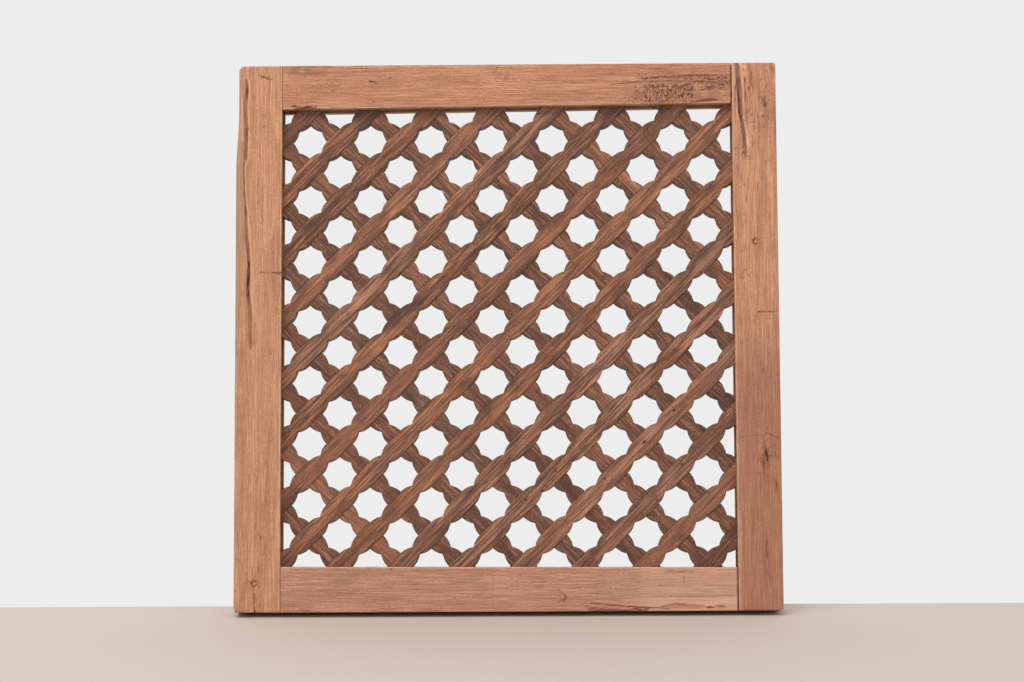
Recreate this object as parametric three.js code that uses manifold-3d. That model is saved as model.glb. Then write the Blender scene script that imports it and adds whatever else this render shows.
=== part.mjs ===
// A framed lattice panel of old wood, made to be fixed upright on a wall or in an opening.
// Two stiles and two rails hold scalloped strips that cross at right angles, on the diagonal.
// Sizes are millimetres. X runs to the right, Y from front to back and Z up.
// The origin is on the back face of the top rail, at its middle, where the panel is fixed.

import * as THREE from 'three';
import { mergeVertices } from 'three/addons/utils/BufferGeometryUtils.js';
import Module from 'manifold-3d';

const wasm = await Module();
wasm.setup();

// Frame sizes
const panelWidth = 610;
const panelHeight = 616;
const frameDepth = 38;
const leftStileWidth = 51.5;
const rightStileWidth = 49.5;
// Both rails are sawn a little wider at their left end.
const topRailLeftHeight = 50;
const topRailRightHeight = 46;
const bottomRailLeftHeight = 50.5;
const bottomRailRightHeight = 48;
// The long edges of the frame members are eased by a small chamfer.
const easedEdge = 1.2;

// Frame joints
const tenonLength = 26;
const tenonThickness = 12;
const tenonOuterShoulder = 10;
const tenonInnerShoulder = 12;
const mortiseClearance = 0.3;
// The rails meet the left stile closely and stand off the right one, where the wood has shrunk.
const leftJointGap = 0.3;
const rightJointGap = 1.2;

// Wear that changes the outline of the frame
const wornEdgeInset = 2.8;
const wornEdgeLength = 62;
const wornEdgeRunOut = 50;
const wornTopCorner = 6;
const chippedCornerWidth = 1.6;
const chippedCornerHeight = 6;
const softTopCorner = 2;
const softBottomCorner = 3.5;

// Lattice sizes
const stripSpacing = 48.55;
const stripWidth = 20.4;
const stripWaist = 11.2;
const stripThickness = 17;
// The rising strips lie this far behind the front of the frame, and the falling ones a step deeper.
const latticeRecess = 10;
const fallingStep = 1;
const lapClearance = 0.3;

// Groove in the inner edges of the frame, which holds the ends of the strips
const grooveDepth = 10;
const grooveClearance = 0.3;
const stripEndGap = 1;

// How far a cutting shape reaches past the face that it cuts
const overcut = 2;

// Places worked out from the sizes above
const openingLeft = -panelWidth / 2 + leftStileWidth;
const openingRight = panelWidth / 2 - rightStileWidth;
const latticeBack = latticeRecess + fallingStep + stripThickness;
const lapDepth = (latticeRecess + latticeBack) / 2;
const crossingHalf = stripWidth / 2 + lapClearance;
const openingWidth = openingRight - openingLeft;
const openingHeight = panelHeight - topRailLeftHeight - bottomRailLeftHeight;
// How far from the middle of the panel a strip can lie and still cross a corner of the opening.
const cornerReach = (openingWidth + openingHeight) / 2 * Math.SQRT1_2 - stripWidth;
const fixingHeight = panelHeight - (topRailLeftHeight + topRailRightHeight) / 4;

// Edges of the rails

// Top edge of the bottom rail at a place across the panel.
function bottomRailEdge(x) {
  const { mapLinear } = THREE.MathUtils;
  return mapLinear(x, openingLeft, openingRight, bottomRailLeftHeight, bottomRailRightHeight);
}

// Bottom edge of the top rail at a place across the panel.
function topRailEdge(x) {
  const { mapLinear } = THREE.MathUtils;
  const height = mapLinear(x, openingLeft, openingRight, topRailLeftHeight, topRailRightHeight);
  return panelHeight - height;
}

// Solids

// A straight-sided outline from its corners.
function polygon(corners) {
  return new THREE.Shape(corners.map(([x, z]) => new THREE.Vector2(x, z)));
}

function rectangle(left, bottom, right, top) {
  return polygon([[left, bottom], [right, bottom], [right, top], [left, top]]);
}

// A geometry as a solid that can be joined and cut.
function solidOf(geometry) {
  const bare = geometry.clone();
  bare.deleteAttribute('normal');
  bare.deleteAttribute('uv');
  const merged = mergeVertices(bare);
  const vertProperties = Float32Array.from(merged.attributes.position.array);
  const triVerts = Uint32Array.from(merged.index.array);
  return new wasm.Manifold(new wasm.Mesh({ numProp: 3, vertProperties, triVerts }));
}

// A solid as a geometry again.
function geometryOf(solid) {
  const { vertProperties, triVerts } = solid.getMesh();
  const geometry = new THREE.BufferGeometry();
  geometry.setAttribute('position', new THREE.BufferAttribute(vertProperties, 3));
  geometry.setIndex(new THREE.BufferAttribute(triVerts, 1));
  return geometry;
}

// An outline drawn as seen from the front, solid between two depths behind the front face.
function slabGeometry(outline, frontDepth, backDepth, chamfer = 0) {
  const geometry = new THREE.ExtrudeGeometry(outline, {
    depth: backDepth - frontDepth - 2 * chamfer,
    bevelEnabled: chamfer > 0,
    bevelThickness: chamfer,
    bevelSize: chamfer,
    bevelOffset: -chamfer,
    bevelSegments: 1,
    curveSegments: 3,
  });
  geometry.rotateX(Math.PI / 2);
  geometry.translate(0, backDepth - chamfer - frameDepth, 0);
  return geometry;
}

function slab(outline, frontDepth, backDepth, chamfer = 0) {
  return solidOf(slabGeometry(outline, frontDepth, backDepth, chamfer));
}

// The opening inside the frame, grown on every side.
function openingOutline(grow) {
  const left = openingLeft - grow;
  const right = openingRight + grow;
  return polygon([
    [left, bottomRailEdge(left) - grow],
    [right, bottomRailEdge(right) - grow],
    [right, topRailEdge(right) + grow],
    [left, topRailEdge(left) + grow],
  ]);
}

// The groove that runs round the inside of the frame.
function groove() {
  const front = latticeRecess - grooveClearance;
  const back = latticeBack + grooveClearance;
  return slab(openingOutline(grooveDepth), front, back);
}

// Frame members

function leftStileOutline() {
  const outer = -panelWidth / 2;
  const worn = outer + wornEdgeInset;
  const outline = new THREE.Shape();
  outline.moveTo(outer + chippedCornerWidth, 0);
  outline.lineTo(openingLeft, 0);
  outline.lineTo(openingLeft, panelHeight);
  outline.lineTo(worn + wornTopCorner, panelHeight);
  outline.quadraticCurveTo(worn, panelHeight, worn, panelHeight - wornTopCorner);
  outline.lineTo(worn, panelHeight - wornEdgeLength);
  outline.lineTo(outer, panelHeight - wornEdgeLength - wornEdgeRunOut);
  outline.lineTo(outer, chippedCornerHeight);
  return outline;
}

function rightStileOutline() {
  const outer = panelWidth / 2;
  const outline = new THREE.Shape();
  outline.moveTo(openingRight, 0);
  outline.lineTo(outer - softBottomCorner, 0);
  outline.quadraticCurveTo(outer, 0, outer, softBottomCorner);
  outline.lineTo(outer, panelHeight - softTopCorner);
  outline.quadraticCurveTo(outer, panelHeight, outer - softTopCorner, panelHeight);
  outline.lineTo(openingRight, panelHeight);
  return outline;
}

// A tenon at one end of a rail, or with a clearance the mortise that takes it.
// The rail lies between an outer and an inner edge, and its shoulder is at x.
function tenon(shoulderX, towards, low, high, clearance = 0) {
  const start = shoulderX - towards * overcut;
  const end = shoulderX + towards * (tenonLength + clearance);
  const outline = rectangle(
    Math.min(start, end), low - clearance, Math.max(start, end), high + clearance);
  const front = (frameDepth - tenonThickness) / 2 - clearance;
  return slab(outline, front, frameDepth - front);
}

// The four rail ends: which rail, the side it points to, and the height of its tenon.
function railEnds() {
  const ends = [];
  for (const towards of [-1, 1]) {
    const x = towards < 0 ? openingLeft : openingRight;
    ends.push({
      rail: 'bottom', x, towards,
      low: tenonOuterShoulder,
      high: bottomRailEdge(x) - tenonInnerShoulder,
    });
    ends.push({
      rail: 'top', x, towards,
      low: topRailEdge(x) + tenonInnerShoulder,
      high: panelHeight - tenonOuterShoulder,
    });
  }
  return ends;
}

function stile(outline, towards) {
  let solid = slab(outline, 0, frameDepth, easedEdge).subtract(groove());
  for (const end of railEnds().filter((each) => each.towards === towards)) {
    const mortise = tenon(end.x, towards, end.low, end.high, mortiseClearance);
    solid = solid.subtract(mortise);
  }
  return geometryOf(solid);
}

function rail(name, lowEdge, highEdge) {
  const left = openingLeft + leftJointGap;
  const right = openingRight - rightJointGap;
  const [longLeft, longRight] = [left - overcut, right + overcut];
  const outline = polygon([
    [longLeft, lowEdge(longLeft)], [longRight, lowEdge(longRight)],
    [longRight, highEdge(longRight)], [longLeft, highEdge(longLeft)],
  ]);
  const between = slab(rectangle(left, 0, right, panelHeight), 0, frameDepth);
  let solid = slab(outline, 0, frameDepth, easedEdge).intersect(between).subtract(groove());
  for (const end of railEnds().filter((each) => each.rail === name)) {
    solid = solid.add(tenon(end.x, end.towards, end.low, end.high));
  }
  return geometryOf(solid);
}

// Lattice strips

// Distances of a family of parallel strips from the middle of the panel, as many as cross the
// opening. The first lies this share of a spacing off the middle.
function offsets(firstShare) {
  const steps = Math.floor(cornerReach / stripSpacing + firstShare);
  const first = (firstShare - steps) * stripSpacing;
  const count = 2 * (steps - firstShare) + 1;
  return Array.from({ length: count }, (_, k) => first + k * stripSpacing);
}

// The outline of a strip along X: it is full width at each crossing and waisted between them.
// Each shoulder between them is a shallow arc, drawn as its chord.
function scallopedOutline(crossings) {
  const waist = stripSpacing / 2;
  const upper = crossings.flatMap((x) => [
    [x - waist, stripWaist / 2],
    [x - crossingHalf, stripWidth / 2],
    [x + crossingHalf, stripWidth / 2],
  ]);
  upper.push([crossings.at(-1) + waist, stripWaist / 2]);
  const lower = upper.toReversed().map(([x, z]) => [x, -z]);
  return polygon([...upper, ...lower]);
}

// One strip in its own frame, along X: the outline, cut off in the groove and halved where
// the other family crosses it. Rising strips are halved from behind, falling ones from in front.
function stripGeometry(placed, crossings, family) {
  const { frontDepth, halvedFromBehind } = family;
  const beyond = [crossings[0] - stripSpacing, crossings.at(-1) + stripSpacing];
  const outline = scallopedOutline([beyond[0], ...crossings, beyond[1]]);
  const room = slabGeometry(openingOutline(grooveDepth - stripEndGap), 0, frameDepth);
  room.applyMatrix4(placed.matrix.clone().invert());
  let solid = slab(outline, frontDepth, frontDepth + stripThickness).intersect(solidOf(room));
  const [lapFront, lapBack] = halvedFromBehind
    ? [lapDepth - lapClearance / 2, latticeBack + overcut]
    : [latticeRecess - overcut, lapDepth + lapClearance / 2];
  for (const x of crossings) {
    const notch = rectangle(x - crossingHalf, -stripWidth, x + crossingHalf, stripWidth);
    solid = solid.subtract(slab(notch, lapFront, lapBack));
  }
  return geometryOf(solid);
}

// Finishes

const frameFinishes = {
  left_stile: 0xc58f6d,
  right_stile: 0xc08766,
  top_rail: 0xb98468,
  bottom_rail: 0xc28c70,
};
const stripShades = [0x8a5a42, 0x7c503c, 0x936046, 0x84553f];
const frameRoughness = 0.75;
const stripRoughness = 0.85;

function wood(color, roughness) {
  return new THREE.MeshStandardMaterial({ color, roughness, metalness: 0 });
}

function named(name, geometry, material) {
  const mesh = new THREE.Mesh(geometry, material);
  mesh.name = name;
  return mesh;
}

// The whole panel

function frameMembers() {
  const members = new THREE.Group();
  const shapes = {
    left_stile: stile(leftStileOutline(), -1),
    right_stile: stile(rightStileOutline(), 1),
    top_rail: rail('top', topRailEdge, () => panelHeight),
    bottom_rail: rail('bottom', () => 0, bottomRailEdge),
  };
  for (const [name, geometry] of Object.entries(shapes)) {
    members.add(named(name, geometry, wood(frameFinishes[name], frameRoughness)));
  }
  return members;
}

// The two families of strips. Rising strips lie in front and are halved from behind.
const rising = {
  name: 'rising_strip',
  offsets: offsets(0),
  turn: -Math.PI / 4,
  frontDepth: latticeRecess,
  halvedFromBehind: true,
};
const falling = {
  name: 'falling_strip',
  offsets: offsets(0.5),
  turn: Math.PI / 4,
  frontDepth: latticeRecess + fallingStep,
  halvedFromBehind: false,
};

// All strips of one family, numbered from the left, each crossed by those of the other.
function stripFamily(family, crossedBy) {
  const strips = new THREE.Group();
  family.offsets.forEach((offset, k) => {
    const color = stripShades[k % stripShades.length];
    const name = `${family.name}_${String(k + 1).padStart(2, '0')}`;
    const strip = named(name, undefined, wood(color, stripRoughness));
    strip.rotation.y = family.turn;
    const across = new THREE.Vector3(0, 0, family.turn < 0 ? -offset : offset);
    strip.position.copy(across.applyEuler(strip.rotation));
    strip.position.z += panelHeight / 2;
    strip.updateMatrix();
    strip.geometry = stripGeometry(strip, crossedBy.offsets, family);
    strips.add(strip);
  });
  return strips;
}

const panel = new THREE.Group();
panel.position.z = -fixingHeight;
panel.add(frameMembers(), stripFamily(rising, falling), stripFamily(falling, rising));

export default panel;
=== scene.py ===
# %% [markdown]
# A framed lattice panel of old wood. This lesson dresses it in Blender, one cell at a time.
# The solids come from the imported model, and nothing here moves or resizes them. Each solid is
# replaced by a dense mesh of the same form, which carries what wear and weather did to the wood:
# raised grain, rounded arrises, splits, knots and chips. The finishes come last.

# %% The frame, and the box of the imported model
import math
from collections import namedtuple

import bmesh
import bpy
import numpy as np
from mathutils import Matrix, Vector


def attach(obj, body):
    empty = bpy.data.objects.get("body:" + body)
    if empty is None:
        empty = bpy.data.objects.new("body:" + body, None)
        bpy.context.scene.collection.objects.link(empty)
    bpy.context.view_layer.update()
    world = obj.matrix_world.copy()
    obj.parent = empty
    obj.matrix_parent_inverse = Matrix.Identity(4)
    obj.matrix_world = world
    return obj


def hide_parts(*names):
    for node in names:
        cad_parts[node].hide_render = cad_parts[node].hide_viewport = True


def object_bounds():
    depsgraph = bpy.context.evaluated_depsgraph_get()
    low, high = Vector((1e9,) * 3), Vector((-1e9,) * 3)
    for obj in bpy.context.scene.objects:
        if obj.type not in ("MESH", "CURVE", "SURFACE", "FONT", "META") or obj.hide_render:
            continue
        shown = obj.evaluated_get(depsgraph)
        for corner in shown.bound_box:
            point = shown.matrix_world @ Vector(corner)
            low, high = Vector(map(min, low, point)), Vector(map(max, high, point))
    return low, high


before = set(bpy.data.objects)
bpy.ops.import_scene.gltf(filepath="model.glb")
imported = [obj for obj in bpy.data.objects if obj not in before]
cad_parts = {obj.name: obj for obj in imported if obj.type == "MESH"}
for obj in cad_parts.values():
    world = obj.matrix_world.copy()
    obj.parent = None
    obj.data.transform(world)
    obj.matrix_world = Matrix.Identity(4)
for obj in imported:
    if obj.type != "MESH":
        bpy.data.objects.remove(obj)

model_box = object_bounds()
print("model box", [[round(value, 4) for value in corner] for corner in model_box])

# %% [markdown]
# Sizes are in millimetres, from the panel's bottom edge up, with depth counted from its front.
# They are those of the solids, and the outline of the whole panel is read from the frame.

# %% Driving sizes, in millimetres
MM = 0.001
panel_width = (model_box[1][0] - model_box[0][0]) / MM
panel_height = (model_box[1][2] - model_box[0][2]) / MM
panel_depth = (model_box[1][1] - model_box[0][1]) / MM
panel_bottom = model_box[0][2]
panel_back = model_box[1][1]

left_stile_width = 51.5
right_stile_width = 49.5
top_rail_heights = (50.0, 46.0)
bottom_rail_heights = (50.5, 48.0)
left_joint_gap = 0.3
right_joint_gap = 1.2

strip_spacing = 48.55
strip_width = 20.4
strip_waist = 11.2
strip_thickness = 17.0
lattice_recess = 10.0
falling_step = 1.0
lap_clearance = 0.3
groove_depth = 10.0
groove_clearance = 0.3
strip_end_gap = 1.0

opening_left = -panel_width / 2 + left_stile_width
opening_right = panel_width / 2 - right_stile_width
lattice_back = lattice_recess + falling_step + strip_thickness
lap_depth = (lattice_recess + lattice_back) / 2
crossing_half = strip_width / 2 + lap_clearance
print(f"panel {panel_width:.1f} x {panel_height:.1f} x {panel_depth:.1f} mm")


def across_opening(x, heights):
    """A rail's height at a place across the opening, from those at both ends."""
    share = (x - opening_left) / (opening_right - opening_left)
    return heights[0] + (heights[1] - heights[0]) * share


def top_rail_edge(x):
    return panel_height - across_opening(x, top_rail_heights)


def bottom_rail_edge(x):
    return across_opening(x, bottom_rail_heights)

# %% [markdown]
# Old wood is uneven along its grain. A smooth random field, stretched the same way, can shape
# the mesh and tint it with the same lines.

# %% A random field, stretched along the grain
noise_cells = 256


def field(u, v, seed):
    """Smooth random values from 0 to 1 over two coordinates counted in cells."""
    table = np.random.RandomState(seed).rand(noise_cells, noise_cells)
    u0 = np.floor(u).astype(int)
    v0 = np.floor(v).astype(int)
    fu = u - u0
    fv = v - v0
    fu = fu * fu * (3 - 2 * fu)
    fv = fv * fv * (3 - 2 * fv)
    a = table[u0 % noise_cells, v0 % noise_cells]
    b = table[(u0 + 1) % noise_cells, v0 % noise_cells]
    c = table[u0 % noise_cells, (v0 + 1) % noise_cells]
    d = table[(u0 + 1) % noise_cells, (v0 + 1) % noise_cells]
    return (a * (1 - fu) + b * fu) * (1 - fv) + (c * (1 - fu) + d * fu) * fv


def grain_lines(along, across, seed, length, width):
    """Long thin streaks that wander a little, as grain does."""
    wander = (field(along / 60, across / 30, seed + 1) - 0.5) * 4
    return field(along / length, (across + wander) / width, seed)


def furrows(along, across, seed, coarse, fine):
    """How hollow the wood is between its raised grain, from coarse and fine lines."""
    hollow = 0
    for own_seed, (length, width, start, gain, share) in ((seed, coarse), (seed + 3, fine)):
        lines = grain_lines(along, across, own_seed, length, width)
        hollow = hollow + np.clip((lines - start) * gain, 0, 1) * share
    return hollow


def smooth_step(low, high, value):
    share = np.clip((value - low) / (high - low), 0, 1)
    return share * share * (3 - 2 * share)

# %% [markdown]
# Every piece starts as a flat grid that is extruded backwards in a few steps. The lines of the
# grid become stations along the piece and columns across it, and the steps become rows of depth,
# numbered in a layer. Each further step leaves a sheet of faces inside the block, which is
# deleted so that only the skin stays.

# %% A block of grid lines and depth rows
def read_places(mesh):
    flat = np.zeros(len(mesh.vertices) * 3, dtype=np.float32)
    mesh.vertices.foreach_get("co", flat)
    return flat.reshape(-1, 3).astype(float)


def block(station_count, column_count, row_count):
    """A closed block: a grid of stations and columns, extruded once for each further row."""
    bm = bmesh.new()
    bmesh.ops.create_grid(bm, x_segments=station_count - 1, y_segments=column_count - 1, size=0.5)
    layer = bm.verts.layers.int.new("row")
    faces = bm.faces[:]
    for row in range(1, row_count):
        grown = bmesh.ops.extrude_face_region(bm, geom=faces)["geom"]
        for vert in grown:
            if isinstance(vert, bmesh.types.BMVert):
                vert[layer] = row
        if row > 1:
            bmesh.ops.delete(bm, geom=faces, context="FACES")
        faces = [face for face in grown if isinstance(face, bmesh.types.BMFace)]
    mesh = bpy.data.meshes.new("block")
    bm.to_mesh(mesh)
    bm.free()
    x, y, _ = read_places(mesh).T
    station = np.rint((x + 0.5) * (station_count - 1)).astype(int)
    column = np.rint((y + 0.5) * (column_count - 1)).astype(int)
    row = np.zeros(len(mesh.vertices), dtype=np.int32)
    mesh.attributes["row"].data.foreach_get("value", row)
    return mesh, station, column, row

# %% [markdown]
# Places go from panel millimetres to the frame's metres and back, an attribute takes three
# numbers for each vertex, and a finished mesh becomes a piece in place of its solid.

# %% Places, attributes and pieces
sharp_angle = math.radians(38)


def spread(low, high, pitch):
    """Even places from low to high, about a pitch apart."""
    return np.linspace(low, high, max(2, int(round((high - low) / pitch)) + 1))


def to_metres(x, depth, z):
    """Panel millimetres as points in the frame."""
    places = np.stack([x * MM, panel_back + (depth - panel_depth) * MM, panel_bottom + z * MM], 1)
    return places.astype(np.float32)


def to_panel(places):
    """Points in the frame as panel millimetres: x, depth and height."""
    x = places[:, 0] / MM
    depth = (places[:, 1] - panel_back) / MM + panel_depth
    z = (places[:, 2] - panel_bottom) / MM
    return x, depth, z


def arris_drop(inset, radius):
    """How far a rounded edge or corner falls back, at a distance in from it."""
    inside = np.clip(radius - inset, 0, radius)
    return radius - np.sqrt(np.maximum(radius ** 2 - inside ** 2, 0))


def set_attribute(mesh, name, x, y, z):
    attribute = mesh.attributes.new(name, "FLOAT_VECTOR", "POINT")
    values = np.stack([x, y, z], 1).astype(np.float32)
    attribute.data.foreach_set("vector", values.ravel())


def add_piece(mesh, name, node):
    """Puts a finished mesh in the scene in place of its solid."""
    mesh.name = name
    mesh.shade_smooth()
    mesh.set_sharp_from_angle(angle=sharp_angle)
    piece = bpy.data.objects.new(name, mesh)
    bpy.context.scene.collection.objects.link(piece)
    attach(piece, "root")
    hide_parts(node)
    return piece

# %% [markdown]
# Single marks, such as a split or a knife cut, are short lines with a width, a depth and a
# stain. Each is given where it lies on the panel, from the middle and from the bottom. A mark
# sinks the surface near its line and darkens it a little further out, and it narrows at its ends.
# A negative stain lays the wood bare instead, as along a worn arris.

# %% Marks
def line_distance(x, z, points):
    """Distance of each place from a broken line, and the way from there to the line's end."""
    nearest = np.full(len(x), 1e9)
    to_end = np.full(len(x), 1e9)
    lengths = [math.dist(first, second) for first, second in zip(points[:-1], points[1:])]
    start = 0.0
    for (x0, z0), (x1, z1), length in zip(points[:-1], points[1:], lengths):
        share = ((x - x0) * (x1 - x0) + (z - z0) * (z1 - z0)) / length ** 2
        share = np.clip(share, 0, 1)
        gap = np.hypot(x - x0 - share * (x1 - x0), z - z0 - share * (z1 - z0))
        passed = start + share * length
        to_end = np.where(gap < nearest, np.minimum(passed, sum(lengths) - passed), to_end)
        nearest = np.minimum(nearest, gap)
        start += length
    return nearest, to_end


def mark_fields(x, z, marks, seed, cells=(2.5, 2.5)):
    """How deep, how dark and how bare all marks together make each place."""
    sunk = np.zeros(len(x))
    stain = np.zeros(len(x))
    bare = np.zeros(len(x))
    ragged = 0.7 + 0.6 * field(x / cells[0], z / cells[1], seed)
    patchy = 0.6 + 0.6 * field(x / cells[0], z / cells[1], seed + 1)
    for points, width, depth, dark in marks:
        if len(points) > 1:
            gap, to_end = line_distance(x, z, points)
            reach = width * ragged * (0.3 + 0.7 * np.clip(to_end / (3 * width), 0, 1))
        else:
            gap = np.hypot(x - points[0][0], z - points[0][1])
            reach = width * ragged
        shape = np.clip(1.5 - 1.5 * (gap / reach) ** 2, 0, 1)
        halo = np.clip(1.4 - 1.4 * (gap / (1.3 * reach)) ** 2, 0, 1)
        sunk = sunk + depth * shape
        stain = np.maximum(stain, dark * halo * patchy)
        bare = np.maximum(bare, -dark * halo * patchy)
    return sunk, stain, bare


def knot_marks(x, z, radius):
    """A knot as a broken dark ring round a pale plug, with short checks running out of it."""
    turns = np.linspace(0, 2 * math.pi, 9)
    ring = [(x + 0.6 * radius * math.cos(turn), z + 0.75 * radius * math.sin(turn))
            for turn in turns]
    checks = [([(x + reach * 0.6 * radius, z), (x + reach * 1.5 * radius, z + tilt * radius)],
               0.7, 0.3, 0.55) for reach, tilt in ((-1, 0.7), (1, -0.8), (0.8, 0.9))]
    return [(ring, 1.3, 0.45, 0.75), ([(x, z)], radius * 0.3, 0.3, -0.4), *checks]


def strokes(count, x_range, z_range, length, tilt, seed, width=0.7, depth=0.5, dark=0.7):
    """Short marks strewn over a patch, all near one direction, in degrees."""
    draw = np.random.RandomState(seed)
    marks = []
    for _ in range(count):
        x = draw.uniform(*x_range)
        z = draw.uniform(*z_range)
        turn = math.radians(tilt + draw.normal(0, 12))
        reach = length * draw.uniform(0.4, 1.1) / 2
        step = (reach * math.cos(turn), reach * math.sin(turn))
        marks.append(([(x - step[0], z - step[1]), (x + step[0], z + step[1])],
                      width * draw.uniform(0.7, 1.3), depth * draw.uniform(0.4, 1.2),
                      dark * draw.uniform(0.5, 1.1)))
    return marks

# %% [markdown]
# The frame is made of planed boards with eased edges, and their fronts show most of their age.
# Splits, cuts and knots are traced one by one, and finer strokes are strewn over patches.

# %% Marks on the stiles
left_split = [(-294.5, 600), (-293.6, 596), (-293.5, 585), (-294.1, 578), (-294.6, 567),
              (-294.2, 546), (-294.4, 520), (-295, 512), (-296.8, 502)]
left_shoulder = [(-291.2, 542), (-291.3, 510), (-295.4, 499), (-293.1, 462), (-291, 438),
                 (-288, 406), (-286.3, 383), (-285.2, 343), (-284.7, 303)]
right_split = [(261.1, 617), (262.9, 598), (263.8, 581), (264.7, 563), (265.6, 549)]
right_crack = [(265.6, 555), (267.6, 538), (269.3, 520), (269.8, 508)]
left_marks = [
    (left_split, 2.3, 1.3, 0.44),
    ([(-293.6, 597), (-293.5, 577)], 0.9, 0.6, 0.8),
    ([(-293.2, 545), (-293.4, 520), (-295.2, 510)], 1.5, 0.8, 0.62),
    ([(-296.8, 504), (-296.1, 490), (-295.5, 470), (-293.9, 446)], 0.8, 0.8, 0.7),
    ([(-294.2, 456), (-292.8, 422), (-290.5, 398), (-289.5, 386)], 1.7, 0.9, 0.68),
    ([(-289.8, 392), (-290.2, 375), (-290.9, 367), (-290.5, 354), (-289.2, 344)], 2.0, 1.2, 0.75),
    ([(-291, 375), (-291, 364)], 0.9, 0.7, 0.95),
    ([(-290.8, 358), (-290.4, 350)], 0.9, 0.7, 0.95),
    ([(-289.2, 352), (-288.3, 327), (-288.1, 293)], 2.3, 1.0, 0.52),
    (left_shoulder, 0.8, 0.0, -0.6),
    ([(x + 2.9, z) for x, z in left_split[:6]], 0.9, 0.0, -0.8),
    ([(-298.7, 578), (-298.8, 555), (-298, 529)], 0.9, 0.2, -0.5),
    ([(-280.5, 605), (-264.7, 600)], 1.0, 0.8, 0.85),
    ([(-251.5, 379), (-263.8, 379.7)], 1.1, 0.8, 0.8),
    ([(-262, 379.6), (-281.2, 380.3)], 0.8, 0.5, 0.65),
    ([(-282.7, 156), (-282.7, 144)], 0.7, 0.4, 0.7),
    ([(-277, 87), (-275, 84), (-275.5, 80)], 0.7, 0.5, 0.7),
    ([(-273.9, 95), (-274.6, 85)], 0.6, 0.3, 0.5),
    ([(-277, 50), (-277, 44)], 0.8, 0.3, 0.5),
    ([(-281, 24), (-282.7, 7.5), (-281, 0)], 0.7, 0.6, 0.85),
    ([(-302, 21), (-303, 25)], 1.4, 0.9, 0.6),
    ([(-304, 586), (-303, 576)], 1.6, 1.1, 0.6),
    *knot_marks(-282.2, 32, 4.6),
    *strokes(26, (-300, -258), (60, 300), 9, 90, 3, 0.6, 0.25, 0.45),
    *strokes(60, (-264, -254), (300, 500), 4, 0, 4, 0.6, 0.2, 0.35),
    *strokes(18, (-288, -256), (420, 600), 6, 90, 5, 0.6, 0.2, 0.4),
]
right_marks = [
    (right_split, 3.0, 1.7, 0.6),
    (right_crack, 2.0, 1.2, 0.55),
    ([(x + 3.7, z) for x, z in right_split + right_crack[1:]], 1.0, 0.0, -0.85),
    ([(x - 3.6, z) for x, z in right_split], 0.8, 0.0, -0.8),
    ([(265, 615), (268, 612), (272, 611)], 2.2, 0.1, -0.9),
    ([(261.9, 600), (263.9, 552)], 1.0, 0.9, 0.75),
    ([(290.8, 577), (290.8, 565)], 1.1, 0.4, 0.7),
    ([(291.7, 557), (291.7, 551)], 0.8, 0.3, 0.7),
    ([(275.3, 547)], 1.0, 0.4, 0.7),
    ([(275.1, 534)], 1.0, 0.4, 0.7),
    ([(303.2, 611), (303.1, 598)], 0.8, 0.3, 0.55),
    ([(292, 580), (292.5, 563)], 0.9, 0.6, 0.85),
    *strokes(26, (258, 276), (506, 520), 5, 60, 9, 0.9, 0.6, 0.6),
    ([(280, 332.7), (302, 332.7)], 0.7, 0.5, 0.8),
    ([(287, 184), (286.5, 170), (284.4, 152)], 4.6, 0.2, 0.5),
    ([(289, 172), (302, 169)], 2.6, 0.2, 0.45),
    ([(288.3, 178), (289.3, 166)], 2.6, 0.7, 1.0),
    ([(286.5, 174), (284.2, 157)], 2.0, 0.4, 0.65),
    ([(284.7, 183), (287.5, 175)], 0.9, 0.4, 0.65),
    ([(290, 171), (297, 169), (301, 171)], 0.8, 0.3, 0.5),
    ([(256, 191.3), (266.2, 193.1), (285, 195)], 0.7, 0.3, 0.5),
    ([(289, 197.5), (297.4, 192.6), (304.4, 189.4)], 0.8, 0.35, 0.6),
    ([(290, 204), (287, 193), (284.4, 179)], 0.7, 0.35, 0.6),
    ([(298.3, 146), (298.8, 127)], 1.5, 0.3, 0.5),
    ([(287.4, 79), (287.1, 56)], 1.4, 0.3, 0.6),
    ([(286, 178), (287.5, 166), (286.5, 150)], 4.2, 0.15, 0.4),
    ([(284.8, 48), (289, 40), (293.4, 30)], 2.2, 0.2, 0.3),
    *strokes(40, (276, 304), (148, 194), 6, 70, 31, 0.7, 0.3, 0.6),
    ([(270, 600), (271, 570)], 0.7, 0.4, 0.6),
    ([(278, 606), (278, 588)], 0.7, 0.4, 0.6),
    ([(285, 560), (286, 536)], 0.7, 0.4, 0.55),
    ([(259, 590), (260, 548)], 0.7, 0.4, 0.6),
    ([(299, 540), (299, 500)], 0.6, 0.3, 0.45),
    *knot_marks(279.5, 412, 4.4),
    *strokes(70, (270, 302), (520, 612), 6, 90, 6, 0.7, 0.35, 0.65),
    *strokes(24, (258, 300), (60, 500), 10, 90, 7, 0.6, 0.25, 0.4),
    *strokes(14, (262, 275), (365, 398), 7, 70, 8, 0.6, 0.2, 0.45),
]
print("stile marks", len(left_marks), len(right_marks))

# %% [markdown]
# The grain of the top rail is torn over its right end, which takes hundreds of short strokes.
# The bottom rail has a knot and a long check near its lower edge.

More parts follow.
